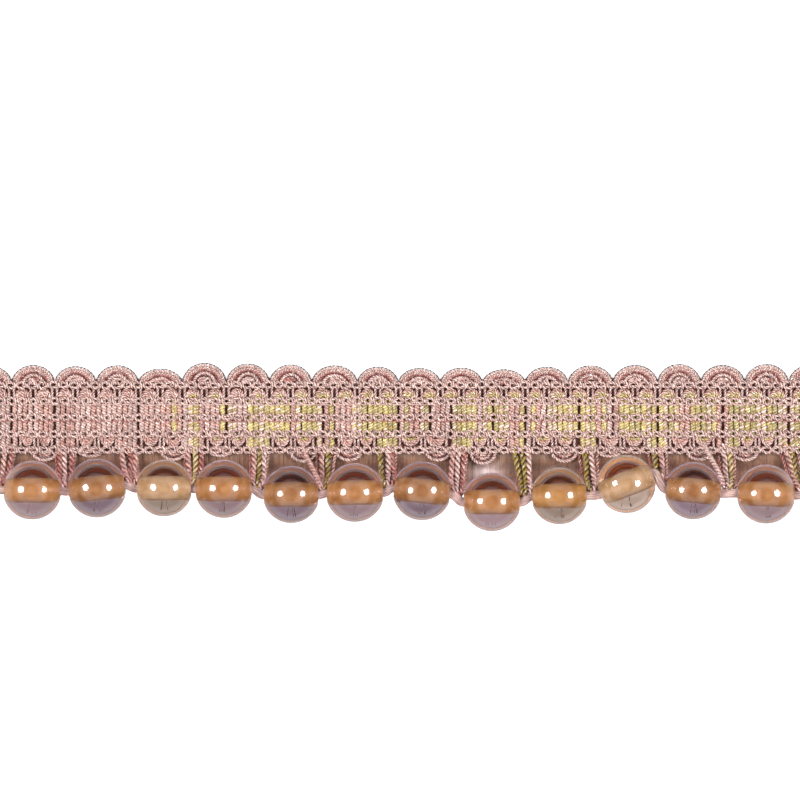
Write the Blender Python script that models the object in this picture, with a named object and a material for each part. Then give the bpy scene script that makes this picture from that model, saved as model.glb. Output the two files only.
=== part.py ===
"""Beaded trim: a cut length of gimp braid with a row of round glass beads.

Metres, +Z up. The trim lies flat on its back at z = 0 with its face up. It runs
along X, its scalloped edge is towards +Y and its beads hang towards -Y. Small
unevenness of the beads and scallops is part of the object and is tabled here.
Tables are in millimetres.
"""

import math

import bmesh
import bpy
from mathutils import Matrix, Vector

MM = 0.001

# Cut length
HALF_LENGTH = 73.0

# Scallop valleys along X and the height of the peak between each two
SCALLOP_VALLEYS = (
    -76.96, -69.29, -61.61, -54.21, -46.68, -38.84, -30.98, -23.30, -15.75, -7.62,
    -0.29, 7.21, 14.70, 22.36, 29.98, 37.98, 45.96, 53.66, 61.50, 69.34, 76.96,
)
SCALLOP_PEAKS = (
    14.40, 14.59, 14.38, 14.54, 13.93, 14.96, 14.84, 14.68, 14.52, 14.29,
    14.04, 14.11, 13.82, 14.29, 14.50, 14.59, 14.75, 14.59, 14.75, 14.60,
)
SCALLOP_VALLEY_Y = 12.0
COLUMNS_PER_SCALLOP = 8

# Small lobes of the lower edge: middle along X and lowest point
LOBES = (
    (-63.4, -2.6), (-55.2, -1.7), (-40.4, -2.5), (-32.0, -1.6),
    (-17.3, -2.8), (-9.1, -2.6), (6.8, -2.6), (14.8, -3.2),
    (29.3, -2.8), (37.3, -1.7), (53.4, -2.5), (61.6, -2.6),
)
LOBE_HALF_WIDTH = 2.2
LOWER_EDGE_Y = -1.05

# Five warp chains and the ribs between them
CHAIN_Y = (-0.40, 2.32, 5.27, 8.21, 11.07)
CHAIN_TOP = 2.25
CHAIN_RIPPLE = 0.15
RIB_TOP = 1.95
RIB_SLOT = 1.15
RIB_FOOT = 0.85
EDGE_WALL = 0.60

# Rim beyond the top chain: share of the way to the edge and height
SCALLOP_ROWS = (
    (0.22, 1.20),
    (0.46, 1.75),
    (0.66, 1.20),
    (0.86, 1.95),
    (1.00, 0.60),
)

# Glass beads: x, y, turn about Z in degrees and radius
BEADS = (
    (-65.43, -7.68, -1.0, 5.28),
    (-53.93, -7.32, 6.0, 5.28),
    (-41.96, -7.32, 0.0, 5.08),
    (-31.34, -7.45, 0.0, 5.22),
    (-19.36, -8.45, 0.0, 5.14),
    (-8.02, -8.11, 1.0, 5.27),
    (3.93, -7.80, -6.0, 5.28),
    (16.34, -9.77, 0.0, 5.26),
    (28.36, -8.70, 1.0, 5.10),
    (40.29, -6.59, 21.0, 5.22),
    (52.18, -7.77, -5.0, 5.15),
    (65.12, -8.38, -2.0, 5.30),
)
BORE_RADIUS = 1.50
MOUTH_ROUND = 0.22
BEAD_SIDES = 20
BEAD_RINGS = 10

# Floss core that the beads are threaded on
CORE_RADIUS = 0.70
CORE_SIDES = 8
CORE_INSIDE = 4.3
CORE_PAST_MOUTH = 0.40

# Loops of cord in the gaps: x under the heading, x at the core
LOOPS = (
    (-70.00, -71.10),
    (-59.82, -59.80),
    (-48.39, -47.75),
    (-36.60, -36.65),
    (-25.00, -25.35),
    (-13.21, -13.70),
    (-2.30, -2.10),
    (10.55, 10.15),
    (21.60, 22.35),
    (33.39, 34.10),
    (45.89, 46.40),
    (58.21, 58.60),
    (69.30, 71.15),
)
LOOP_TOP_Y = -1.45
LOOP_TOP_Z = 1.30
LOOP_TOP_HALF_WIDTH = 1.45
LOOP_END_HALF_WIDTH = 0.55
LOOP_THICKNESS = 1.30
LOOP_SECTIONS = 7
LOOP_SIDES = 10

# Clear space between neighbouring pieces
CLEARANCE = 0.30


def clear_scene():
    """Empty the scene."""
    for item in list(bpy.data.objects):
        bpy.data.objects.remove(item, do_unlink=True)


def material(name, colour, roughness, transmission=0.0):
    """A surface in one colour."""
    made = bpy.data.materials.new(name)
    made.use_nodes = True
    shader = made.node_tree.nodes["Principled BSDF"]
    shader.inputs["Base Color"].default_value = (*colour, 1.0)
    shader.inputs["Roughness"].default_value = roughness
    shader.inputs["Transmission Weight"].default_value = transmission
    return made


def add_node(name, shape, surface):
    """Turn a mesh in millimetres into a named object in metres."""
    bmesh.ops.recalc_face_normals(shape, faces=shape.faces)
    bmesh.ops.scale(shape, vec=(MM, MM, MM), verts=shape.verts)
    mesh = bpy.data.meshes.new(name)
    shape.to_mesh(mesh)
    shape.free()
    mesh.materials.append(surface)
    item = bpy.data.objects.new(name, mesh)
    bpy.context.scene.collection.objects.link(item)
    return item


def lerp(a, b, t):
    """The value t of the way from a to b."""
    return a + (b - a) * t


def smooth(t):
    """Ease from 0 to 1."""
    t = min(max(t, 0.0), 1.0)
    return t * t * (3.0 - 2.0 * t)


def bridge(shape, first, second, closed):
    """Join two rows of vertices of the same length with triangles."""
    count = len(first)
    last = count if closed else count - 1
    for i in range(last):
        j = (i + 1) % count
        shape.faces.new((first[i], first[j], second[j]))
        shape.faces.new((first[i], second[j], second[i]))


def heading_columns():
    """X, arch height and rib phase of each column of stitches."""
    columns = []
    spans = len(SCALLOP_VALLEYS) - 1
    for span in range(spans):
        left = SCALLOP_VALLEYS[span]
        right = SCALLOP_VALLEYS[span + 1]
        for step in range(COLUMNS_PER_SCALLOP):
            share = step / COLUMNS_PER_SCALLOP
            x = lerp(left, right, share)
            if abs(x) < HALF_LENGTH - 0.35:
                columns.append((x, *edge_at(x), step % 2))
    first = (-HALF_LENGTH, *edge_at(-HALF_LENGTH), 0)
    last = (HALF_LENGTH, *edge_at(HALF_LENGTH), 0)
    return [first, *columns, last]


def edge_at(x):
    """Y of the scalloped edge at x and how far up its arch that is."""
    for span in range(len(SCALLOP_VALLEYS) - 1):
        left = SCALLOP_VALLEYS[span]
        right = SCALLOP_VALLEYS[span + 1]
        if left <= x <= right:
            share = (x - left) / (right - left)
            arch = math.sqrt(max(0.0, 1.0 - (2.0 * share - 1.0) ** 2))
            arch = lerp(arch, math.sin(math.pi * share), 0.35)
            return lerp(SCALLOP_VALLEY_Y, SCALLOP_PEAKS[span], arch), arch
    return SCALLOP_VALLEY_Y, 0.0


def lower_edge_at(x):
    """Y of the lower edge at x."""
    edge = LOWER_EDGE_Y
    for middle, lowest in LOBES:
        away = abs(x - middle) / LOBE_HALF_WIDTH
        if away < 1.0:
            drop = math.sqrt(1.0 - away * away)
            edge = min(edge, lerp(LOWER_EDGE_Y, lowest, drop))
    return edge


def heading_profile(x, edge_y, arch, slot):
    """Points up the face of the heading at one column, lower edge first."""
    low = lower_edge_at(x)
    points = [(low, EDGE_WALL), (lerp(low, CHAIN_Y[0], 0.4), 1.8)]
    rib = RIB_SLOT if slot else RIB_TOP
    chain = CHAIN_TOP - (CHAIN_RIPPLE if slot else 0.0)
    for row, y in enumerate(CHAIN_Y):
        if row:
            points.append((y - RIB_FOOT, rib))
        points.append((y, chain))
        if row < len(CHAIN_Y) - 1:
            points.append((y + RIB_FOOT, rib))
    for share, height in SCALLOP_ROWS:
        flat = lerp(1.05, height, smooth(arch * 1.6))
        points.append((lerp(CHAIN_Y[-1], edge_y, share), min(height, flat)))
    return points


def build_heading(surface):
    """The braid heading as one slab with a flat back and a ribbed face."""
    shape = bmesh.new()
    rows = []
    for x, edge_y, arch, slot in heading_columns():
        profile = heading_profile(x, edge_y, arch, slot)
        back_low = shape.verts.new((x, profile[0][0], 0.0))
        face = [shape.verts.new((x, y, z)) for y, z in profile]
        back_high = shape.verts.new((x, profile[-1][0], 0.0))
        rows.append([back_low, *face, back_high])
    for first, second in zip(rows, rows[1:]):
        bridge(shape, first, second, False)
    back = [row[0] for row in rows] + [row[-1] for row in reversed(rows)]
    shape.faces.new(back)
    shape.faces.new(rows[0])
    shape.faces.new(list(reversed(rows[-1])))
    return add_node("heading", shape, surface)


def bead_profile(radius):
    """Half section of a bead along its hole, from mouth to mouth."""
    half = math.sqrt(radius * radius - (BORE_RADIUS + MOUTH_ROUND) ** 2)
    start = math.asin((BORE_RADIUS + MOUTH_ROUND) / radius)
    points = [(-half + MOUTH_ROUND * 1.2, BORE_RADIUS)]
    for ring in range(BEAD_RINGS):
        angle = lerp(start, math.pi - start, ring / (BEAD_RINGS - 1))
        points.append((-radius * math.cos(angle), radius * math.sin(angle)))
    points.append((half - MOUTH_ROUND * 1.2, BORE_RADIUS))
    return points


def bead_height(radius):
    """Height of a bead's centre when one of its facets lies on the ground."""
    widest = max(r for _, r in bead_profile(radius))
    return widest * math.cos(math.pi / BEAD_SIDES)


def bead_frame(bead):
    """Where a bead stands and how it is turned."""
    x, y, turn, radius = bead
    place = Matrix.Translation((x, y, bead_height(radius)))
    return place @ Matrix.Rotation(math.radians(turn), 4, "Z")


def build_bead(name, bead, surface):
    """A round bead with a straight hole through it."""
    shape = bmesh.new()
    frame = bead_frame(bead)
    rings = []
    for along, out in bead_profile(bead[3]):
        ring = []
        for side in range(BEAD_SIDES):
            angle = 2.0 * math.pi * (side + 0.5) / BEAD_SIDES
            point = Vector((along, out * math.sin(angle), -out * math.cos(angle)))
            ring.append(shape.verts.new(frame @ point))
        rings.append(ring)
    for first, second in zip(rings, rings[1:] + rings[:1]):
        for i in range(BEAD_SIDES):
            j = (i + 1) % BEAD_SIDES
            shape.faces.new((first[i], first[j], second[j], second[i]))
    return add_node(name, shape, surface)


def middle_of_gap(left, right):
    """Point between two beads, as far from one as from the other."""
    starts = bead_frame(left) @ Vector((left[3], 0.0, 0.0))
    ends = bead_frame(right) @ Vector((-right[3], 0.0, 0.0))
    middle = (starts + ends) / 2.0
    for _ in range(3):
        from_left = (middle - bead_frame(left).translation).length - left[3]
        from_right = (middle - bead_frame(right).translation).length - right[3]
        middle.x += (from_right - from_left) / 2.0
    return middle


def core_path():
    """Points along the core, straight through each bead's hole."""
    path = []
    for number, bead in enumerate(BEADS):
        reach = bead_profile(bead[3])[-2][0] + CORE_PAST_MOUTH
        for along in (-reach, -CORE_INSIDE, CORE_INSIDE, reach):
            path.append(bead_frame(bead) @ Vector((along, 0.0, 0.0)))
        if number + 1 < len(BEADS):
            path.append(middle_of_gap(bead, BEADS[number + 1]))
    start = Vector((-HALF_LENGTH, path[0].y, path[0].z))
    end = Vector((HALF_LENGTH, path[-1].y, path[-1].z))
    return [start, *path, end]


def build_core(surface):
    """The floss core as one cord through all the beads."""
    shape = bmesh.new()
    path = core_path()
    rings = []
    for i, point in enumerate(path):
        before = path[max(i - 1, 0)]
        after = path[min(i + 1, len(path) - 1)]
        ahead = (after - before).normalized()
        if i in (0, len(path) - 1):
            ahead = Vector((1.0, 0.0, 0.0))
        side = Vector((0.0, 0.0, 1.0)).cross(ahead).normalized()
        over = ahead.cross(side)
        ring = []
        for k in range(CORE_SIDES):
            angle = 2.0 * math.pi * k / CORE_SIDES
            out = side * math.cos(angle) + over * math.sin(angle)
            ring.append(shape.verts.new(point + out * CORE_RADIUS))
        rings.append(ring)
    for first, second in zip(rings, rings[1:]):
        bridge(shape, first, second, True)
    shape.faces.new(rings[0])
    shape.faces.new(list(reversed(rings[-1])))
    return add_node("core_floss", shape, surface)


def free_half_width(x, y, z, half_thickness):
    """Half the room between the beads on both sides of a point."""
    room = 10.0
    for bead in BEADS:
        centre = Vector((bead[0], bead[1], bead_height(bead[3])))
        up = max(0.0, abs(z - centre.z) - half_thickness)
        along = y - centre.y
        reach = (bead[3] + CLEARANCE) ** 2 - up * up - along * along
        if reach > 0.0:
            room = min(room, abs(x - centre.x) - math.sqrt(reach))
    return room


def core_at(x):
    """Y and Z of the core at x, read along its path."""
    path = core_path()
    for first, second in zip(path, path[1:]):
        if first.x <= x <= second.x:
            share = (x - first.x) / (second.x - first.x)
            point = first.lerp(second, share)
            return point.y, point.z
    return path[-1].y, path[-1].z


def build_loop(name, loop, surface):
    """A tapered bundle of three strands from under the heading to the core."""
    shape = bmesh.new()
    top_x, end_x = loop
    core_z = core_at(end_x)[1]
    under = [core_at(end_x + side * LOOP_END_HALF_WIDTH)[0] for side in (-1, 0, 1)]
    end_y = max(under) + CORE_RADIUS + CLEARANCE + 0.1
    thick = LOOP_THICKNESS / 2.0
    rings = []
    for section in range(LOOP_SECTIONS):
        share = section / (LOOP_SECTIONS - 1)
        x = lerp(top_x, end_x, smooth(share))
        y = lerp(LOOP_TOP_Y, end_y, share)
        z = lerp(LOOP_TOP_Z, core_z, smooth(share * 1.05))
        wide = lerp(LOOP_TOP_HALF_WIDTH, LOOP_END_HALF_WIDTH, smooth(share * 1.2))
        wide = min(wide, free_half_width(x, y, z, thick) - 0.02)
        ring = []
        for k in range(LOOP_SIDES):
            angle = 2.0 * math.pi * (k + 0.5) / LOOP_SIDES
            across = math.cos(angle)
            bulge = 0.86 + 0.14 * abs(math.cos(1.5 * math.pi * across))
            up = math.sin(angle) * bulge
            ring.append(shape.verts.new((x + wide * across, y, z + thick * up)))
        rings.append(ring)
    for first, second in zip(rings, rings[1:]):
        bridge(shape, first, second, True)
    shape.faces.new(rings[0])
    shape.faces.new(list(reversed(rings[-1])))
    return add_node(name, shape, surface)


def build():
    """Make every piece of the trim."""
    clear_scene()
    heading = material("heading_gimp", (0.62, 0.42, 0.36), 0.75)
    cord = material("loop_cord", (0.55, 0.33, 0.27), 0.75)
    floss = material("core_floss", (0.36, 0.25, 0.22), 0.60)
    glass = material("bead_glass", (0.72, 0.38, 0.14), 0.06, 0.85)
    build_heading(heading)
    build_core(floss)
    for number, bead in enumerate(BEADS, start=1):
        build_bead(f"bead_{number:02d}", bead, glass)
    for number, loop in enumerate(LOOPS, start=1):
        build_loop(f"bead_loop_{number:02d}", loop, cord)


build()
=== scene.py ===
"""Beaded trim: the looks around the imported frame.

Shapes are worked out in millimetres in the frame's own axes and turned into
metres when a piece is made. X runs along the trim, Y towards the scallops.
"""

import math

import bpy
import numpy as np
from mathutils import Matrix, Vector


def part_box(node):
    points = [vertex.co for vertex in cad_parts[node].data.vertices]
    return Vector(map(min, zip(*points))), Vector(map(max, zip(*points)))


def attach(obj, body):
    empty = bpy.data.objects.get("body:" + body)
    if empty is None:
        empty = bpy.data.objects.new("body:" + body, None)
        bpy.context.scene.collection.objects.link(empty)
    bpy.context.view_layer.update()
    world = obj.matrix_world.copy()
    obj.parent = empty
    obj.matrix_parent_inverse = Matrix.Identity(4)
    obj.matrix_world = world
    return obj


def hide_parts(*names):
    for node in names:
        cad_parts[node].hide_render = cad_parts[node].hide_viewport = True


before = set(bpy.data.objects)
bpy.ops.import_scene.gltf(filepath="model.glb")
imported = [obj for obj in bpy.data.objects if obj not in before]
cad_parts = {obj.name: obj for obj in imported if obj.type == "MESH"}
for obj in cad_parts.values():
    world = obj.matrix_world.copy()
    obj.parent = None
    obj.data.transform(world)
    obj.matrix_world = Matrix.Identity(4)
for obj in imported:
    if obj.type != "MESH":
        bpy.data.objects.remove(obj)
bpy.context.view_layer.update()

MM = 0.001
HALF_LENGTH = 73.0
SEED = 11

# Scallops: valleys along X and the peak between each two
VALLEYS = np.array((
    -76.96, -69.29, -61.61, -54.21, -46.68, -38.84, -30.98, -23.30, -15.75, -7.62,
    -0.29, 7.21, 14.70, 22.36, 29.98, 37.98, 45.96, 53.66, 61.50, 69.34, 76.96,
))
PEAKS = np.array((
    14.40, 14.59, 14.38, 14.54, 13.93, 14.96, 14.84, 14.68, 14.52, 14.29,
    14.04, 14.11, 13.82, 14.29, 14.50, 14.59, 14.75, 14.59, 14.75, 14.60,
))
VALLEY_Y = 12.0
CHAIN_Y = (-0.55, 2.32, 5.27, 8.21, 11.07)

# Lobes of the lower edge: middle and lowest point
LOBES = (
    (-63.4, -2.6), (-55.2, -1.9), (-40.4, -2.5), (-32.0, -1.8), (-17.3, -2.8), (-9.1, -2.6),
    (6.8, -2.6), (14.8, -3.2), (29.3, -2.8), (37.3, -1.9), (53.4, -2.5), (61.6, -2.6),
)
# Slots that show the ground's painted shade: edges with a wide one, and how wide and likely they
# are
WIDE_SLOTS = (
    -70.1, -62.3, -46.9, -30.5, -13.0, -0.8, 4.6, 8.75, 16.1, 22.0, 32.0, 46.0, 57.8, 69.9,
)
WIDE_SLOT = 0.46
OPEN_SLOT = 0.18
SHUT_SLOT = 0.02
OPEN_SHARE = 0.15

# Beads: turn about Z in degrees, radius, glass, and the numbers of those with a pale lining
BEAD_TURN = (-1.0, 6.0, 0.0, 0.0, 0.0, 1.0, -6.0, 0.0, 1.0, 21.0, -5.0, -2.0)
BEAD_RADIUS = (5.28, 5.28, 5.08, 5.22, 5.14, 5.27, 5.28, 5.26, 5.10, 5.22, 5.15, 5.30)
BEAD_GLASS = "mauve slate beige mauve slate mauve slate mauve beige beige slate mauve".split()
PALE_LININGS = (3, 10)
# Radius of the hole, and the lining's edge outside it
BORE = 1.50
LIP = 0.15
GLASS_IOR = 1.50
# Points round a bead, and from one mouth of its hole to the other
BEAD_SIDES = 56
BEAD_ROWS = 35
# Room below the beads for the floss that their glass shows enlarged, partly painted shade
BEAD_LIFT = 0.40
FLOSS_Z = -0.12

# Where the photo is taken from, and the width that it shows
CAMERA = np.array((0.0, 8.39, 1500.0))
VIEW_WIDTH = 142.86

# How much brighter the set is than the colours below, which are as seen
SET_LIGHT = 1.37
BRIGHTEST = 1.12
WHITE = (1.0, 1.0, 1.0)
BLACK = (0.0, 0.0, 0.0)
WHITISH = (1.01, 0.885, 0.845)
PALE = (0.95, 0.825, 0.785)
PINK = (0.90, 0.715, 0.66)
ROSE = (0.76, 0.48, 0.43)
WINE = (0.52, 0.20, 0.19)
YELLOW = (0.87, 0.80, 0.52)
OLIVE = (0.64, 0.55, 0.16)
GREY = (0.36, 0.32, 0.33)
TAUPE = (0.78, 0.66, 0.62)
# Floss: its own colour darkened, partly as painted shade, and paler as painted satin sheen
BROWN = (0.55, 0.39, 0.29)
SATIN_SHEEN = (0.83, 0.75, 0.74)
# Floss under the beads, the dark one painted as the shade beneath each bead, and the
# painted shade on a strip of a bead's lining
SHADED = (0.64, 0.31, 0.01)
RUST = (1.05, 0.86, 0.66)
UMBER = (0.42, 0.20, 0.04)
# Painted shade in the crease between two plies: what it keeps of a yarn's colour
CREASE_SHADE = np.array((0.34, 0.16, 0.14))

# Half the width of a bundle of cords at the heading, and where those at the cut ends start
BUNDLE_HALF = 1.95
END_BUNDLE = 71.2
# Cords in each gap: x under the heading, x at the core, colours from left to right
GAPS = (
    (-70.00, -71.10, (PINK, ROSE)),
    (-59.82, -59.80, (ROSE, PALE, ROSE)),
    (-48.39, -47.75, (PINK, ROSE, PINK)),
    (-36.60, -36.65, (PINK, YELLOW, ROSE)),
    (-25.00, -25.35, (PINK, OLIVE, PALE)),
    (-13.21, -13.70, (PINK, OLIVE)),
    (-2.30, -2.10, (OLIVE, PALE, ROSE)),
    (10.55, 10.15, (PINK, PALE, ROSE)),
    (21.60, 22.35, (OLIVE, OLIVE, PALE)),
    (33.39, 34.10, (OLIVE, PALE)),
    (45.89, 46.40, (OLIVE, PINK)),
    (58.21, 58.60, (PALE, YELLOW)),
    (69.30, 71.15, (PINK, OLIVE)),
)

# Cords of a scallop: inset from the valleys, distance below the peak, height, radius,
# colour and turns a millimetre
SCALLOP_CORDS = (
    (0.05, 0.02, 1.05, 0.12, GREY, 0.7),
    (0.38, 0.40, 1.22, 0.30, PALE, 1.1),
    (0.84, 0.84, 1.45, 0.30, PALE, -1.0),
    (1.24, 1.14, 1.45, 0.24, ROSE, 1.2),
    (1.62, 1.34, 1.62, 0.15, WINE, 0.7),
    (2.05, 1.72, 1.50, 0.33, PALE, 1.0),
    (2.50, 2.10, 1.62, 0.13, WINE, 0.7),
)
# Cords of a lobe: half width, distance above its lowest point, height, radius, colour, turns
LOBE_CORDS = (
    (2.15, 0.28, 1.45, 0.32, PALE, 0.9),
    (1.62, 0.72, 1.50, 0.14, WINE, 0.7),
    (1.25, 1.12, 1.50, 0.30, PINK, 0.9),
    (0.70, 1.70, 1.50, 0.30, PALE, 0.9),
)

rng = np.random.default_rng(SEED)


def linear(colour):
    """A colour as seen, turned into scene light for this bright set."""
    c = np.asarray(colour, float)
    return np.where(c <= 0.04045, c / 12.92, ((c + 0.055) / 1.055) ** 2.4) / SET_LIGHT


def smooth(t):
    """Ease from 0 to 1."""
    t = np.clip(t, 0.0, 1.0)
    return t * t * (3.0 - 2.0 * t)


def wobble(count, size):
    """Small seeded offsets."""
    return rng.normal(0.0, size, count)


def axes_along(path):
    """Unit vectors ahead, sideways and up along paths of shape (n, points, 3)."""
    ahead = np.gradient(path, axis=1)
    ahead /= np.maximum(np.linalg.norm(ahead, axis=2, keepdims=True), 1e-9)
    side = np.cross(np.array((0.0, 0.0, 1.0)), ahead)
    size = np.linalg.norm(side, axis=2, keepdims=True)
    side = np.where(size > 1e-6, side / np.maximum(size, 1e-6), (1.0, 0.0, 0.0))
    return ahead, side, np.cross(ahead, side)


def length_along(path):
    """Distance along each path at each of its points."""
    steps = np.linalg.norm(np.diff(path, axis=1), axis=2)
    return np.concatenate((np.zeros((len(path), 1)), np.cumsum(steps, axis=1)), axis=1)


def resample(points, count):
    """One smooth path through a few points, evenly spaced, of shape (count, 3)."""
    points = np.asarray(points, float)
    padded = np.vstack((2 * points[0] - points[1], points, 2 * points[-1] - points[-2]))
    t = np.linspace(0.0, len(points) - 1 - 1e-9, 8 * len(points))
    i = t.astype(int)
    f = (t - i)[:, None]
    a, b, c, d = padded[i], padded[i + 1], padded[i + 2], padded[i + 3]
    curve = 0.5 * (
        2 * b + (c - a) * f + (2 * a - 5 * b + 4 * c - d) * f**2
        + (3 * b - a - 3 * c + d) * f**3
    )
    run = length_along(curve[None])[0]
    even = np.linspace(0.0, run[-1], count)
    return np.stack([np.interp(even, run, curve[:, k]) for k in range(3)], axis=1)


def add_object(name, data):
    """A mesh, lamp or camera as an object in the scene."""
    item = bpy.data.objects.new(name, data)
    bpy.context.scene.collection.objects.link(item)
    return item


class Yarns:
    """Gathers round yarns and makes them one piece."""

    def __init__(self):
        self.points = []
        self.quads = []
        self.maps = []
        self.tints = []
        self.count = 0

    def strand(self, path, radius, tint, sides=5, outward=None):
        """Add paths (n, points, 3) as tubes that close at both ends.

        outward points away from the cord that a ply belongs to; the side that faces
        the cord's middle is darkened with the painted crease shade.
        """
        path = np.asarray(path, float)
        n, p, _ = path.shape
        radius = np.broadcast_to(np.asarray(radius, float), (n, p))
        run = length_along(path)
        ahead, side, up = axes_along(path)
        angle = 2.0 * math.pi * np.arange(sides) / sides
        shape = np.cos(angle)[:, None] * side[:, :, None] + np.sin(angle)[:, None] * up[:, :, None]
        rings = path[:, :, None] + shape * radius[:, :, None, None]
        first = np.repeat(path[:, :1, None], sides, axis=2)
        last = np.repeat(path[:, -1:, None], sides, axis=2)
        rings = np.concatenate((first, rings, last), axis=1)
        run = np.concatenate((run[:, :1], run, run[:, -1:]), axis=1)
        p += 2
        tint = np.asarray(tint, float)
        if tint.ndim < 3:
            tint = np.broadcast_to(tint.reshape(-1, 1, 3), (n, p - 2, 3))
        tint = np.repeat(linear(tint)[:, :, None], sides, axis=2)
        if outward is not None:
            # Painted shade: the side of a ply that faces the cord's middle is darkened
            facing = np.sum(shape * outward[:, :, None], axis=-1)
            open_side = smooth((facing + 0.15) / 0.75)[..., None]
            tint = tint * (CREASE_SHADE + (1.0 - CREASE_SHADE) * open_side)
        tint = np.concatenate((tint[:, :1], tint, tint[:, -1:]), axis=1)
        index = self.count + np.arange(n * p * sides).reshape(n, p, sides)
        a, b = index[:, :-1], index[:, 1:]
        quads = np.stack((a, np.roll(a, -1, 2), np.roll(b, -1, 2), b), axis=-1)
        u0 = np.broadcast_to(run[:, :-1, None], a.shape)
        u1 = np.broadcast_to(run[:, 1:, None], a.shape)
        v0 = np.broadcast_to(np.arange(sides) / sides, a.shape)
        v1 = v0 + 1.0 / sides
        corners = np.stack((
            np.stack((u0, v0), -1), np.stack((u0, v1), -1),
            np.stack((u1, v1), -1), np.stack((u1, v0), -1),
        ), axis=-2)
        self.points.append(rings.reshape(-1, 3))
        self.quads.append(quads.reshape(-1, 4))
        self.maps.append(corners.reshape(-1, 2))
        self.tints.append(tint.reshape(-1, 3))
        self.count += n * p * sides

    def cord(self, path, radius, tint, turns=0.9, sides=5, fine=5.2, second=None):
        """Add paths as cords of two twisted plies, with turns a millimetre.

        fine is the number of rings a turn. second is the colour of the second
        ply where it differs.
        """
        path = np.asarray(path, float)
        n = len(path)
        run = length_along(path)
        need = max(6, int(run[:, -1].max() * abs(turns) * fine))
        dense = np.stack([resample(one, need) for one in path])
        radius = np.broadcast_to(np.asarray(radius, float), (n, path.shape[1]))
        wide = np.stack([
            np.interp(np.linspace(0, 1, need), np.linspace(0, 1, path.shape[1]), r)
            for r in radius
        ])
        _, side, up = axes_along(dense)
        angle = 2.0 * math.pi * turns * length_along(dense) + rng.uniform(0, 6.28, (n, 1))
        for start, shade, own in (
            (0.0, 0.95, tint),
            (math.pi, 1.05, tint if second is None else second),
        ):
            a = angle + start
            out = np.cos(a)[..., None] * side + np.sin(a)[..., None] * up
            own = np.clip(np.asarray(own, float) * shade, 0, BRIGHTEST)
            self.strand(dense + out * (wide * 0.5)[..., None], wide * 0.54, own, sides, out)

    def piece(self, name, material):
        """Make the gathered yarns one object."""
        points = np.concatenate(self.points) * MM
        quads = np.concatenate(self.quads)
        mesh = bpy.data.meshes.new(name)
        mesh.vertices.add(len(points))
        mesh.vertices.foreach_set("co", points.ravel())
        mesh.loops.add(quads.size)
        mesh.loops.foreach_set("vertex_index", quads.ravel().astype(np.int32))
        mesh.polygons.add(len(quads))
        mesh.polygons.foreach_set("loop_start", np.arange(0, quads.size, 4, dtype=np.int32))
        mesh.polygons.foreach_set("use_smooth", np.ones(len(quads), bool))
        layer = mesh.uv_layers.new(name="UVMap")
        layer.data.foreach_set("uv", np.concatenate(self.maps).ravel())
        colour = mesh.color_attributes.new("tint", "FLOAT_COLOR", "POINT")
        rgba = np.ones((len(points), 4))
        rgba[:, :3] = np.concatenate(self.tints)
        colour.data.foreach_set("color", rgba.ravel())
        mesh.update(calc_edges=True)
        mesh.validate()
        mesh.materials.append(material)
        item = add_object(name, mesh)
        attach(item, "root")
        return item


class Shader:
    """A small helper to write node materials."""

    def __init__(self, name):
        self.material = bpy.data.materials.new(name)
        self.material.use_nodes = True
        self.tree = self.material.node_tree
        self.main = self.tree.nodes["Principled BSDF"]

    def add(self, kind, **settings):
        """A node with some of its properties set."""
        node = self.tree.nodes.new(kind)
        for key, value in settings.items():
            setattr(node, key, value)
        return node

    def join(self, source, target):
        """Link an output to an input."""
        self.tree.links.new(source, target)

    def feed(self, socket, value):
        """Link an output to a socket, or set the socket to a number or a colour."""
        if hasattr(value, "default_value"):
            self.join(value, socket)
        elif isinstance(value, float):
            socket.default_value = value
        else:
            socket.default_value = (*value, 1.0)

    def noise(self, scale, detail):
        """A noise value over the object's own space."""
        place = self.add("ShaderNodeTexCoord")
        node = self.add("ShaderNodeTexNoise")
        node.inputs["Scale"].default_value = scale
        node.inputs["Detail"].default_value = detail
        self.join(place.outputs["Object"], node.inputs["Vector"])
        return node.outputs["Fac"]

    def ramp(self, value, *stops):
        """Colours along a value. Each stop is a place and a colour."""
        node = self.add("ShaderNodeValToRGB")
        while len(node.color_ramp.elements) < len(stops):
            node.color_ramp.elements.new(0.5)
        for element, (place, colour) in zip(node.color_ramp.elements, stops):
            element.position = place
            element.color = (*colour, 1.0)
        self.join(value, node.inputs["Fac"])
        return node.outputs["Color"]

    def maths(self, operation, first, second=0.0):
        """A math node on sockets or numbers."""
        node = self.add("ShaderNodeMath", operation=operation)
        for socket, value in zip(node.inputs, (first, second)):
            self.feed(socket, value)
        return node.outputs[0]

    def mix(self, factor, first, second, blend="MIX"):
        """A colour mix of sockets or colours."""
        node = self.add("ShaderNodeMix", data_type="RGBA", blend_type=blend)
        for number, value in ((0, factor), (6, first), (7, second)):
            self.feed(node.inputs[number], value)
        return node.outputs[2]

    def bump(self, height, strength, distance):
        """Raise the surface by a value."""
        node = self.add("ShaderNodeBump")
        node.inputs["Strength"].default_value = strength
        node.inputs["Distance"].default_value = distance
        self.join(height, node.inputs["Height"])
        self.join(node.outputs["Normal"], self.main.inputs["Normal"])

    def set(self, **values):
        """Constants on the main shader, by socket name with underscores."""
        for key, value in values.items():
            self.main.inputs[key.replace("_", " ")].default_value = value


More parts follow.
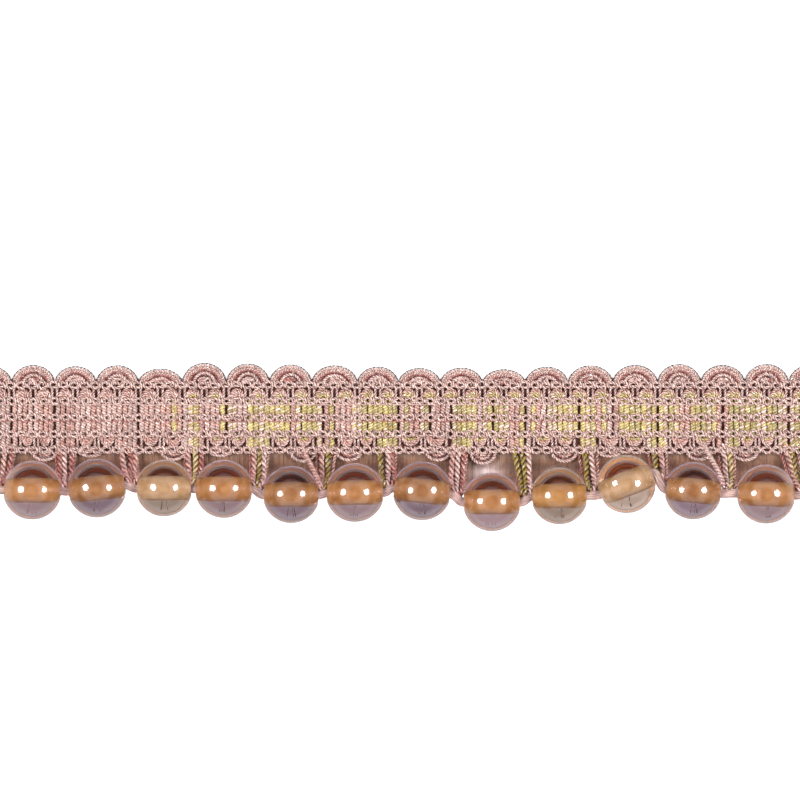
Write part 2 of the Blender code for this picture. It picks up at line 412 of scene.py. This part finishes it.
def yarn_material(name, wrap, sparkle, sheen, roughness):
    """Wound yarn: fine wraps, painted shade in their grooves, uneven dye, dark flecks, small
    glints.
    """
    shader = Shader(name)
    tint = shader.add("ShaderNodeAttribute", attribute_name="tint").outputs["Color"]
    place = shader.add("ShaderNodeUVMap").outputs["UV"]
    parts = shader.add("ShaderNodeSeparateXYZ")
    shader.join(place, parts.inputs[0])
    lay = shader.maths("ADD", shader.maths("MULTIPLY", parts.outputs[0], wrap), parts.outputs[1])
    wave = shader.maths("SINE", shader.maths("MULTIPLY", lay, 2.0 * math.pi))
    ridge = shader.maths("ADD", shader.maths("MULTIPLY", wave, 0.5), 0.5)
    # Painted shade: the grooves between the wraps are darker
    shade = shader.ramp(ridge, (0.0, (0.66, 0.60, 0.60)), (0.7, WHITE))
    base = shader.mix(1.0, tint, shade, "MULTIPLY")
    dye = shader.ramp(shader.noise(900.0, 3.0), (0.30, (0.72, 0.66, 0.66)), (0.55, WHITE))
    base = shader.mix(1.0, base, dye, "MULTIPLY")
    flecks = shader.ramp(shader.noise(2300.0, 1.0), (0.38, (0.34, 0.15, 0.13)), (0.46, WHITE))
    base = shader.mix(sparkle, base, shader.mix(1.0, base, flecks, "MULTIPLY"))
    spots = shader.ramp(shader.noise(2100.0, 1.0), (0.57, BLACK), (0.62, WHITE))
    share = shader.maths("MULTIPLY", spots, sparkle)
    bright = shader.mix(0.55, tint, (0.84, 0.78, 0.75))
    base = shader.mix(share, base, bright)
    shader.join(base, shader.main.inputs["Base Color"])
    shader.join(shader.maths("MULTIPLY", share, 0.9), shader.main.inputs["Metallic"])
    rough = shader.maths("SUBTRACT", roughness, shader.maths("MULTIPLY", share, roughness * 0.5))
    shader.join(rough, shader.main.inputs["Roughness"])
    shader.set(Sheen_Weight=sheen, Sheen_Roughness=0.4)
    shader.bump(ridge, 0.5, 0.00006)
    return shader.material


def ground_material():
    """The base between the yarns: painted shade on its face, plain yarn colour on its back."""
    shader = Shader("heading_ground")
    pitches = (0.00096, 0.00074)
    flat_back = 0.00025
    place = shader.add("ShaderNodeTexCoord").outputs["Object"]
    parts = shader.add("ShaderNodeSeparateXYZ")
    shader.join(place, parts.inputs[0])
    waves = [
        shader.maths("SINE", shader.maths("MULTIPLY", along, 2.0 * math.pi / pitch))
        for along, pitch in zip(parts.outputs, pitches)
    ]
    weave = shader.maths("MULTIPLY", *waves)
    level = shader.maths("ADD", shader.maths("MULTIPLY", weave, 0.5), 0.5)
    # Painted shade: the face is dark between the yarns, the back is plain yarn colour
    dark = shader.ramp(level, (0.0, linear((0.34, 0.17, 0.15))), (1.0, linear((0.52, 0.32, 0.29))))
    back = shader.ramp(level, (0.0, linear((0.55, 0.38, 0.35))), (1.0, linear(PINK)))
    height = shader.maths("MULTIPLY", parts.outputs[2], 1.0 / flat_back)
    face = shader.maths("MINIMUM", shader.maths("MAXIMUM", height, 0.0), 1.0)
    shader.join(shader.mix(face, back, dark), shader.main.inputs["Base Color"])
    shader.set(Roughness=0.8, Sheen_Weight=0.2)
    shader.bump(level, 0.6, 0.0002)
    return shader.material


def stitch_edges():
    """X of every boundary between stitches inside the cut length, and its number.

    Each fourth boundary is a valley between scallops.
    """
    shares = np.arange(4) / 4.0
    edges = (VALLEYS[:-1, None] + np.diff(VALLEYS)[:, None] * shares).ravel()
    index = np.arange(len(edges))
    keep = np.abs(edges) < HALF_LENGTH + 0.3
    return np.clip(edges[keep], 0.1 - HALF_LENGTH, HALF_LENGTH - 0.1), index[keep]


EDGES, EDGE_INDEX = stitch_edges()


def yellow_share(x):
    """How much of the weft is yellow at x: none at the left, much at the right."""
    places = (-42, -39, -30, -24, -3, 2, 22, 26)
    shares = (0.0, 0.42, 0.42, 0.74, 0.74, 0.64, 0.64, 0.80)
    return np.interp(x, places, shares)


def weft_colours(xs):
    """A colour for each weft cord, drawn for one or two cords at a time."""
    colours = []
    run = 0
    yellow = False
    for x in xs:
        if run <= 0:
            yellow = rng.random() < yellow_share(x)
            run = rng.integers(1, 3)
        run -= 1
        if yellow:
            tint = np.array(YELLOW) * rng.uniform(0.84, 1.08)
        else:
            tint = np.array(PALE if rng.random() < 0.6 else PINK) * rng.uniform(0.92, 1.03)
        colours.append(np.clip(tint, 0, 1))
    return np.array(colours)


def in_gap(x):
    """True where a bundle of cords runs down into a gap, and at the cut ends."""
    return abs(x) > END_BUNDLE or any(abs(x - top) < BUNDLE_HALF for top, _, _ in GAPS)


def build_ground(material):
    """A thin sheet of painted shade under the yarns, with a flat back."""
    xs = np.linspace(-HALF_LENGTH + 0.2, HALF_LENGTH - 0.2, 300)
    rows = 10
    low = -0.9
    high = VALLEY_Y - 0.4
    edge = np.full(len(xs), high)
    for left, right, peak in zip(VALLEYS, VALLEYS[1:], PEAKS):
        inside = (xs >= left) & (xs <= right)
        u = 2.0 * (xs[inside] - left) / (right - left) - 1.0
        rise = np.sqrt(np.clip(1.0 - u * u, 0.0, 1.0))
        edge[inside] = high + (peak - VALLEY_Y - 0.35) * rise
    share = np.linspace(0.0, 1.0, rows)
    y = low + (edge[None] - low) * share[:, None]
    x = np.broadcast_to(xs, y.shape)
    face = 0.90 + 0.06 * np.sin(x * 6.5)
    back = np.full(y.shape, 0.02)
    points = np.concatenate([np.stack((x, y, z), axis=-1).reshape(-1, 3) for z in (face, back)])
    n = len(xs)
    faces = []
    for layer in range(2):
        base = layer * rows * n
        for r in range(rows - 1):
            for c in range(n - 1):
                a = base + r * n + c
                quad = (a, a + 1, a + n + 1, a + n)
                faces.append(quad if layer == 0 else quad[::-1])
    under = rows * n
    for line, flip in (
        (range(n), False),
        (range(under - n, under), True),
        (range(0, under, n), True),
        (range(n - 1, under, n), False),
    ):
        for a, b in zip(line, line[1:]):
            quad = (a, a + under, b + under, b)
            faces.append(quad[::-1] if flip else quad)
    mesh = bpy.data.meshes.new("heading_ground")
    mesh.from_pydata((points * MM).tolist(), [], faces)
    mesh.shade_smooth()
    mesh.materials.append(material)
    item = add_object("heading_ground", mesh)
    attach(item, "root")
    return item


def build_ribs(material):
    """Weft cords across the heading, two to a stitch.

    They end over the bottom band, and run on through it over each gap. A share
    of them has one ply of another colour.
    """
    yarns = Yarns()
    top = 8.6
    short_low, long_low = 1.75, -0.6
    row_pitch = 2.945
    yellow_below = 0.59
    slots = np.where(rng.random(len(EDGES)) < OPEN_SHARE, OPEN_SLOT, SHUT_SLOT)
    for x in WIDE_SLOTS:
        slots[np.argmin(np.abs(EDGES - x))] = WIDE_SLOT
    wide = (np.diff(EDGES) - (slots[:-1] + slots[1:]) / 2.0) / 2.0
    first = EDGES[:-1] + slots[:-1] / 2.0 + wide / 2.0
    xs = np.stack((first, first + wide), axis=1).ravel() + wobble(2 * len(wide), 0.03)
    wide = np.repeat(wide, 2)
    lows = np.array([long_low if in_gap(x) else short_low for x in xs])
    colours = weft_colours(xs)
    y = top + (lows[:, None] - top) * np.linspace(0.0, 1.0, 25)
    puff = np.abs(np.sin(math.pi * (y - CHAIN_Y[1]) / row_pitch))
    x = xs[:, None] + 0.05 * np.sin(y * 1.7 + xs[:, None])
    z = 1.18 + 0.22 * puff + wobble((len(xs), 1), 0.04)
    radius = wide[:, None] * (0.55 + 0.07 * puff)
    path = np.stack((x, y, z), axis=-1)
    yellow = colours[:, 2] < yellow_below
    for picked, turns, share, blend in ((yellow, 1.0, 0.40, PALE), (~yellow, -1.0, 0.25, PINK)):
        for deep in (lows < 0, lows > 0):
            chosen = picked & deep
            if chosen.any():
                other = colours[chosen]
                mixed = rng.random(len(other)) < share
                other = np.where(mixed[:, None], blend, other)
                yarns.cord(path[chosen], radius[chosen], colours[chosen], turns, second=other)
    return yarns.piece("weft_cords", material)


def arc(yarns, middle, half, foot, apex, z, radius, tint, turns=0.9, straight=0.35, second=None):
    """Add one cord that runs up from foot, over an arc to apex and down again.

    straight is the share of the rise that is a straight leg.
    """
    t = np.linspace(math.pi, 0.0, 13)
    rise = apex - foot
    leg = straight * rise
    arc_y = foot + leg + (rise - leg) * np.sin(t)
    arc_x = middle + half * np.cos(t)
    foot_z = z - 0.35
    points = [(middle - half, foot, foot_z)]
    points += [(x, y, z) for x, y in zip(arc_x, arc_y)]
    points += [(middle + half, foot, foot_z)]
    path = resample(points, 61)
    path = path[np.abs(path[:, 0]) < HALF_LENGTH - 0.1]
    if len(path) > 12:
        yarns.cord(resample(path[::4], 15)[None], radius, tint, turns, second=second)


def legs(yarns, xs, ys):
    """Add a short upright cord at each x, through four places along Y."""
    for x in xs:
        leg = [(x, y, z) for y, z in zip(ys, (1.3, 1.5, 1.45, 1.3))]
        yarns.cord([leg], 0.24, PALE)


def build_turns(material):
    """Small arcs and legs in the top and bottom bands of the heading."""
    yarns = Yarns()
    top_foot, low_foot = 8.1, 2.4
    for left, middle, right, number in zip(EDGES, EDGES[1:], EDGES[2:], EDGE_INDEX):
        if number % 2:
            continue
        half = (right - left) / 2.0
        tone = YELLOW if rng.random() < yellow_share(middle) * 1.6 else PINK
        arc(yarns, middle, half - 0.80, top_foot, 10.30, 1.35, 0.28, PINK)
        turned = tone if middle > -20.0 else PALE
        arc(yarns, middle, half - 0.85, top_foot, 9.75, 1.45, 0.32, turned, second=PALE)
        arc(yarns, middle, half - 1.25, top_foot, 9.25, 1.50, 0.33, tone)
        legs(yarns, (left + 0.44, right - 0.44), (8.2, 9.4, 10.4, 11.0))
    for first, second in zip(GAPS, GAPS[1:]):
        left = first[0] + BUNDLE_HALF
        right = second[0] - BUNDLE_HALF
        half = (right - left) / 4.0
        for number in range(2):
            middle = left + half * (1.0 + 2.0 * number)
            tone = YELLOW if rng.random() < yellow_share(middle) * 1.2 else PINK
            low = 0.75 + rng.normal(0, 0.1)
            arc(yarns, middle, half - 0.85, low_foot, low - 0.50, 1.40, 0.28, PALE)
            arc(yarns, middle, half - 0.80, low_foot, low, 1.45, 0.33, PINK)
            arc(yarns, middle, half - 1.15, low_foot, low + 0.5, 1.50, 0.33, tone)
            legs(yarns, (middle - half + 0.34, middle + half - 0.34), (2.3, 1.3, 0.3, -0.4))
    return yarns.piece("turning_cords", material)


def build_chains(material):
    """Five rows of chain stitches.

    Two cords part round an eye at each stitch and cross between the eyes, where
    a knot holds them. They are made in short lengths, each of one tone.
    """
    pieces = []
    length = 70
    fine = 6.5
    spots = np.arange(len(EDGES))
    xs = np.linspace(-HALF_LENGTH + 0.12, HALF_LENGTH - 0.12, 700)
    phase = np.interp(xs, EDGES, spots)
    step = EDGES[1] - EDGES[0]
    phase = np.where(xs < EDGES[0], (xs - EDGES[0]) / step, phase)
    phase = np.where(xs > EDGES[-1], spots[-1] + (xs - EDGES[-1]) / step, phase)
    for row, y0 in enumerate(CHAIN_Y):
        yarns = Yarns()
        part = 0.49 + np.interp(phase, spots, wobble(len(spots), 0.06))
        drift = np.interp(phase, spots, wobble(len(spots), 0.05))
        swing = np.cos(math.pi * (phase + 0.12 * np.sin(row * 2.0)))
        for side in (-1.0, 1.0):
            y = y0 + drift + side * part * swing
            z = 1.88 + 0.14 * side * np.sin(math.pi * phase)
            tint = np.interp(phase, spots, rng.uniform(0.92, 1.04, len(spots)))
            tint = np.clip(np.array(WHITISH) * tint[:, None], 0, BRIGHTEST)
            path = np.stack((xs, y, z), -1)
            for start in range(0, len(xs) - 20, length):
                stop = min(start + length + 1, len(xs))
                tone = tint[(start + stop) // 2]
                yarns.cord(path[None, start:stop], 0.27, tone, 0.75, fine=fine)
        knots = []
        for left, right in zip(EDGES, EDGES[1:]):
            middle = (left + right) / 2.0 + rng.normal(0, 0.05)
            lean = 0.28 + rng.normal(0, 0.10)
            tall = 0.53 + rng.normal(0, 0.05)
            share = np.linspace(-1.0, 1.0, 7)
            x = middle + lean * share
            y = y0 + tall * share
            z = 2.12 - 0.34 * share**2
            knots.append(np.stack((x, y, z), -1))
        tint = np.clip(np.array(WHITISH) * rng.uniform(0.9, 1.04, (len(knots), 1)), 0, BRIGHTEST)
        yarns.cord(knots, 0.25, tint, -0.8, fine=fine)
        if row in (2, 3):
            y = y0 - 0.64 + np.interp(phase, spots, wobble(len(spots), 0.05))
            z = np.full(len(xs), 1.80)
            yarns.strand(np.stack((xs, y, z), -1)[None, ::2], 0.11, PALE if row == 3 else ROSE, 4)
        pieces.append(yarns.piece(f"chain_stitches_{row + 1}", material))
    return pieces


def build_scallops(material):
    """Cords of the scallops and of the lobes, with curls inside the scallops."""
    yarns = Yarns()
    foot = 11.0
    straight = 0.08
    curls = 6
    for left, right, peak in zip(VALLEYS, VALLEYS[1:], PEAKS):
        middle = (left + right) / 2.0
        half = (right - left) / 2.0
        for inset, down, z, radius, tint, turns in SCALLOP_CORDS:
            arc(yarns, middle, half - inset, foot, peak - down, z, radius, tint, turns, straight)
        if abs(middle) < HALF_LENGTH - 1.5:
            for _ in range(curls):
                a = rng.uniform(0.0, 2.0 * math.pi, 4)
                x = middle + 1.15 * np.cos(a)
                y = 11.80 + 0.60 * np.sin(a)
                curl = resample(np.stack((x, y, 1.55 + wobble(4, 0.15)), -1), 9)
                yarns.cord(curl[None], 0.20, PALE if rng.random() < 0.75 else ROSE, 1.2, fine=6)
    for middle, low in LOBES:
        for half, above, z, radius, tint, turns in LOBE_CORDS:
            arc(yarns, middle, half, 0.0, low + above, z, radius, tint, turns)
    return yarns.piece("edge_cords", material)


def bead_places():
    """Centre, turn and radius of every bead."""
    places = []
    for number, (turn, radius) in enumerate(zip(BEAD_TURN, BEAD_RADIUS), start=1):
        low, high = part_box(f"bead_{number:02d}")
        centre = (np.array(low) + np.array(high)) / 2.0 / MM
        centre[2] = radius + BEAD_LIFT
        places.append((centre, math.radians(turn), radius))
    return places


BEADS = bead_places()


def core_points():
    """Points on the core's way through the beads."""
    points = [(-HALF_LENGTH, BEADS[0][0][1], BEADS[0][0][2])]
    for centre, turn, radius in BEADS:
        axis = np.array((math.cos(turn), math.sin(turn), 0.0))
        for along in (-radius - 0.1, -3.5, 3.5, radius + 0.1):
            points.append(centre + axis * along)
    points.append((HALF_LENGTH, BEADS[-1][0][1], BEADS[-1][0][2]))
    return np.array(points, float)


def build_core(material):
    """The floss core as a bundle of fine strands."""
    yarns = Yarns()
    outer, inner = 10, 3
    path = resample(core_points(), 420)
    _, side, up = axes_along(path[None])
    for number in range(outer + inner):
        count, ring = (outer, 0.60) if number < outer else (inner, 0.22)
        a = 2.0 * math.pi * number / count + path[:, 0] * 0.25
        out = np.cos(a)[:, None] * side[0] + np.sin(a)[:, None] * up[0]
        tint = np.clip(np.array(TAUPE) * rng.uniform(0.90, 1.08), 0, 1)
        yarns.strand((path + out * ring)[None], 0.27, tint, 5)
    return yarns.piece("core_floss_strands", material)


def core_at(x):
    """Y and Z of the core at x."""
    points = core_points()
    order = np.argsort(points[:, 0])
    return [float(np.interp(x, points[order, 0], points[order, k])) for k in (1, 2)]


def build_gap_cords(material):
    """Bundles of cord from the heading to the core, each over thinner cords."""
    yarns = Yarns()
    # Fillers behind the bundles, mostly brown: floss darkened partly as painted shade between the
    # cords
    fillers = (
        (-1.0, ROSE), (-0.62, BROWN), (-0.2, BROWN), (0.3, BROWN), (0.66, BROWN), (1.0, PINK),
    )
    for top, end, tints in GAPS:
        core_y, core_z = core_at(end)
        n = len(tints)
        for number, tint in enumerate(tints):
            place = number - (n - 1) / 2.0
            x0 = top + place * 1.05 + rng.normal(0, 0.12)
            x1 = end + place * 0.72 + rng.normal(0, 0.05)
            sway = rng.normal(0, 0.16, 2)
            points = [
                (x0, 0.6, 1.25),
                (x0, -0.8, 1.5),
                (x0 * 0.8 + x1 * 0.2 + sway[0], -2.2, 2.3),
                (x0 * 0.4 + x1 * 0.6 + sway[1], (core_y - 2.2) / 2.0, 3.6),
                (x1, core_y + 1.5, core_z + 0.3),
                (x1 * 0.7 + end * 0.3, core_y + 0.5, core_z + 0.1),
                (x1 * 0.4 + end * 0.6, core_y - 0.3, core_z - 0.6),
            ]
            radius = np.array((0.48, 0.52, 0.53, 0.50, 0.46, 0.40, 0.30))
            turns = 0.45 if tint in (OLIVE, YELLOW) else -0.45
            yarns.cord([points], radius, tint, turns, sides=6, fine=9)
        for place, tint in fillers:
            x0 = top + place * 1.5 + rng.normal(0, 0.15)
            x1 = end + place * 1.1
            points = [
                (x0, 0.4, 1.0),
                (x0, -0.9, 1.1),
                (x0 * 0.75 + x1 * 0.25, -2.4, 1.9),
                (x0 * 0.35 + x1 * 0.65, (core_y - 2.2) / 2.0, 3.0),
                (x1, core_y + 1.4, core_z - 0.2),
                (x1 * 0.6 + end * 0.4, core_y + 0.4, core_z - 0.6),
            ]
            yarns.cord([points], 0.34, tint, 0.7)
    for number, tint in ((4, PINK), (10, PALE)):
        centre = BEADS[number][0]
        path = centre + np.array([
            (1.9, 8.6, -4.2), (2.5, 7.1, -3.2), (3.6, 5.0, -0.6),
            (4.6, 3.1, 0.1), (5.3, 1.4, 0.2), (5.7, -0.2, -0.5),
        ])
        yarns.cord(path[None], 0.50, tint, -0.8)
    return yarns.piece("gap_cords", material)


def build_floss(material):
    """Flat floss behind the beads to the heading, partly painted shade, with a patch of painted
    satin sheen.
    """
    yarns = Yarns()
    patch_x, patch_half = 15.4, 3.3
    xs = np.arange(-HALF_LENGTH + 0.3, HALF_LENGTH - 0.2, 0.24)
    xs = xs + wobble(len(xs), 0.03)
    share = np.linspace(0.0, 1.0, 8)
    away = np.min([np.abs(xs - centre[0]) for centre, _, _ in BEADS], axis=0)
    low = np.interp(xs, [c[0] for c, _, _ in BEADS], [c[1] for c, _, _ in BEADS])
    low += 0.9 + 1.4 * (away < 2.4)
    y = 0.2 + (low[:, None] - 0.2) * share
    x = np.broadcast_to(xs[:, None], y.shape)
    z = np.broadcast_to(0.75 - 0.65 * smooth(share * 1.3), y.shape)
    # Painted sheen: paler near the patch, away from the heading; the brown is partly painted shade
    near = np.exp(-((xs - patch_x) / patch_half) ** 2)[:, None]
    pale = (smooth((-2.2 - y) / 1.4) * near)[..., None]
    tint = np.array(BROWN) * (1.0 - pale) + np.array(SATIN_SHEEN) * pale
    tint = np.clip(tint * rng.uniform(0.90, 1.08, (len(xs), 1, 1)), 0, 1)
    yarns.strand(np.stack((x, y, z), -1), 0.20, tint, 5)
    return yarns.piece("floss_backing", material)


def build_bead_shade_wraps(material):
    """Floss laid in arcs under each bead, which its glass shows enlarged.

    The wide dark arcs are painted shade beneath the bead and show as the crescent
    over the band, the small amber ones as the outer arch, and the short strokes as
    dark ticks below the band.
    """
    yarns = Yarns()
    turn = np.linspace(0.0, math.pi, 21)
    # Sizes of the dark arcs, painted shade beneath the bead
    dark = np.arange(0.58, 1.35, 0.10)
    amber = np.arange(0.03, 0.53, 0.08)
    for centre, _, _ in BEADS:
        below = centre + (centre - CAMERA) * (centre[2] - FLOSS_Z) / (CAMERA[2] - centre[2])
        for sizes, lower, radius, tint in ((dark, 0.0, 0.055, SHADED), (amber, 0.10, 0.05, RUST)):
            for size in sizes:
                x = below[0] + size * np.cos(turn)
                y = below[1] - lower + size * np.sin(turn)
                path = np.stack((x, y, np.full(len(turn), FLOSS_Z)), -1)
                yarns.strand(path[None], radius, tint, 4)
        for a in rng.uniform(-0.25, 0.25, 4):
            ends = np.linspace(0.50, rng.uniform(0.57, 0.64), 3)[:, None]
            path = below + ends * np.array((math.sin(a), -math.cos(a), 0.0))
            path[:, 2] = FLOSS_Z - 0.01
            yarns.strand(path[None], 0.008, BROWN, 4)
    return yarns.piece("bead_shade_wraps", material)


def wrap_material():
    """Dull floss in the colours of its yarns."""
    shader = Shader("brown_floss")
    tint = shader.add("ShaderNodeAttribute", attribute_name="tint").outputs["Color"]
    shader.join(tint, shader.main.inputs["Base Color"])
    shader.set(Roughness=0.9, Specular_IOR_Level=0.1)
    return shader.material


def glass_material(name, colour):
    """Polished tinted glass that lets lamps through."""
    shader = Shader(name)
    shader.set(Base_Color=(*colour, 1.0), Roughness=0.0, IOR=GLASS_IOR, Transmission_Weight=1.0)
    shader.set(Coat_Weight=0.16, Coat_Roughness=0.14)
    path = shader.add("ShaderNodeLightPath")
    clear = shader.add("ShaderNodeBsdfTransparent")
    clear.inputs["Color"].default_value = (0.86, 0.80, 0.84, 1.0)
    join = shader.add("ShaderNodeMixShader")
    shader.join(path.outputs["Is Shadow Ray"], join.inputs[0])
    shader.join(shader.main.outputs[0], join.inputs[1])
    shader.join(clear.outputs[0], join.inputs[2])
    shader.join(join.outputs[0], shader.tree.nodes["Material Output"].inputs[0])
    return shader.material


def lining_material(name, deep, light):
    """Clouded amber lining of a bead's hole, with umber painted shade where its points say so."""
    shader = Shader(name)
    cloud = shader.noise(700.0, 3.0)
    colour = shader.ramp(cloud, (0.35, linear(deep)), (0.62, linear(light)))
    shade = shader.add("ShaderNodeAttribute", attribute_name="shade").outputs["Fac"]
    colour = shader.mix(shade, colour, linear(UMBER))
    shader.join(colour, shader.main.inputs["Base Color"])
    shader.set(Roughness=0.5)
    return shader.material


def build_beads():
    """Twelve glass balls with a lined hole, a strip of it painted with umber shade."""
    glasses = {
        "mauve": glass_material("mauve_glass", (0.82, 0.66, 0.69)),
        "slate": glass_material("slate_glass", (0.66, 0.54, 0.61)),
        "beige": glass_material("beige_glass", (0.84, 0.72, 0.60)),
    }
    amber = lining_material("amber_lining", (0.54, 0.355, 0.11), (0.63, 0.465, 0.24))
    straw = lining_material("straw_lining", (0.58, 0.45, 0.29), (0.66, 0.555, 0.43))
    strip_at, strip_half, strip_reach = 2.86, 0.20, 2.6
    t = 2.0 * math.pi * np.arange(BEAD_SIDES) / BEAD_SIDES
    for number, (centre, turn, radius) in enumerate(BEADS, start=1):
        start = math.asin((BORE + LIP) / radius)
        angles = np.linspace(start, math.pi - start, BEAD_ROWS)
        profile = [(-radius * math.cos(a), radius * math.sin(a)) for a in angles]
        mouth = -profile[0][0]
        lip = [(mouth - 0.03, BORE + 0.05), (mouth - 0.12, BORE)]
        inner = np.linspace(mouth - 0.12, -mouth + 0.12, 12)[1:-1]
        hole = [(x, BORE) for x in inner]
        ring = profile + lip + hole + [(-x, r) for x, r in reversed(lip)]
        glass_rows = len(profile) + 1
        ring = np.array(ring)
        x = np.broadcast_to(ring[:, 0, None], (len(ring), BEAD_SIDES))
        y = ring[:, 1, None] * np.cos(t)
        z = ring[:, 1, None] * np.sin(t)
        c, s = math.cos(turn), math.sin(turn)
        points = np.stack((c * x - s * y, s * x + c * y, z), axis=-1) + centre
        index = np.arange(len(ring) * BEAD_SIDES).reshape(len(ring), BEAD_SIDES)
        nxt = np.roll(index, -1, 0)
        faces = np.stack((index, np.roll(index, -1, 1), np.roll(nxt, -1, 1), nxt), axis=-1)
        mesh = bpy.data.meshes.new(f"glass_bead_{number:02d}")
        mesh.from_pydata((points.reshape(-1, 3) * MM).tolist(), [], faces.reshape(-1, 4).tolist())
        mesh.shade_smooth()
        mesh.materials.append(glasses[BEAD_GLASS[number - 1]])
        mesh.materials.append(straw if number in PALE_LININGS else amber)
        slots = np.zeros((len(ring), BEAD_SIDES), np.int32)
        slots[glass_rows:len(ring) - 2] = 1
        mesh.polygons.foreach_set("material_index", slots.ravel())
        # Painted shade: umber on a strip of the lining on its -Y side, towards the middle of the
        # hole
        mark = mesh.attributes.new("shade", "FLOAT", "POINT")
        shade = 1.25 - np.abs(t - strip_at) / strip_half - (ring[:, 0, None] / strip_reach) ** 2
        mark.data.foreach_set("value", np.clip(shade, 0.0, 1.0).ravel())
        item = add_object(mesh.name, mesh)
        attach(item, "root")
        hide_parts(f"bead_{number:02d}")


def build_floor():
    """A plain pale floor, a little brighter to the camera than to the beads."""
    shader = Shader("floor")
    shader.set(Base_Color=(0.6, 0.6, 0.6, 1.0), Roughness=0.9)
    shader.set(Emission_Color=(1.0, 1.0, 1.0, 1.0))
    seen = shader.add("ShaderNodeLightPath").outputs["Is Camera Ray"]
    glow = shader.maths("MULTIPLY", seen, 0.8)
    shader.join(glow, shader.main.inputs["Emission Strength"])
    mesh = bpy.data.meshes.new("floor")
    size = 1.5
    level = -0.2 * MM
    corners = [(size * x, size * y, level) for x, y in ((-1, -1), (1, -1), (1, 1), (-1, 1))]
    mesh.from_pydata(corners, [], [(0, 1, 2, 3)])
    mesh.materials.append(shader.material)
    item = add_object("floor", mesh)


def build_lights():
    """Two soft round lamps at the sides, under a white sky dark low down and overhead."""
    tilt = math.radians(46.0)
    away = 0.6
    world = bpy.data.worlds.new("studio")
    world.use_nodes = True
    tree = world.node_tree
    back = tree.nodes["Background"]
    place = tree.nodes.new("ShaderNodeTexCoord")
    parts = tree.nodes.new("ShaderNodeSeparateXYZ")
    ramp = tree.nodes.new("ShaderNodeValToRGB")
    stops = ramp.color_ramp.elements
    stops[0].position = 0.35
    stops[1].position = 0.60
    stops.new(0.84)
    stops.new(0.94)
    for stop, level in zip(stops, (0.10, 1.2, 1.2, 0.15)):
        stop.color = (level, level, level, 1.0)
    tree.links.new(place.outputs["Generated"], parts.inputs[0])
    tree.links.new(parts.outputs[2], ramp.inputs["Fac"])
    tree.links.new(ramp.outputs["Color"], back.inputs["Color"])
    back.inputs["Strength"].default_value = 1.38
    bpy.context.scene.world = world
    for side in (-1.0, 1.0):
        lamp = bpy.data.lights.new("lamp", "AREA")
        lamp.shape = "DISK"
        lamp.size = 0.24
        lamp.energy = 3.4
        item = add_object("lamp", lamp)
        item.location = (side * away * math.sin(tilt), 0.03, away * math.cos(tilt))
        item.rotation_euler = (0.0, side * tilt, 0.0)


def build_camera():
    """Straight down on the trim, from far enough to be nearly parallel."""
    data = bpy.data.cameras.new("camera")
    data.sensor_width = 36.0
    data.lens = data.sensor_width * CAMERA[2] / VIEW_WIDTH
    data.clip_end = 10.0
    item = add_object("camera", data)
    item.location = CAMERA * MM
    bpy.context.scene.camera = item
    bpy.context.scene.view_settings.view_transform = "Standard"


def main():
    """Build every piece."""
    build_camera()
    build_lights()
    build_floor()
    gimp = yarn_material("gimp_yarn", 3.5, 0.5, 0.04, 0.32)
    floss = yarn_material("silk_floss", 0.4, 0.05, 0.1, 0.4)
    ground = build_ground(ground_material())
    chain = yarn_material("chain_yarn", 3.5, 0.3, 0.04, 0.32)
    pieces = [build_ribs(gimp), build_turns(gimp), *build_chains(chain), build_scallops(gimp)]
    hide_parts("heading")
    cords = build_gap_cords(gimp)
    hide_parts(*[f"bead_loop_{n:02d}" for n in range(1, 14)])
    core = build_core(floss)
    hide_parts("core_floss")
    for piece in (build_floss(floss), build_bead_shade_wraps(wrap_material())):
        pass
    build_beads()


main()
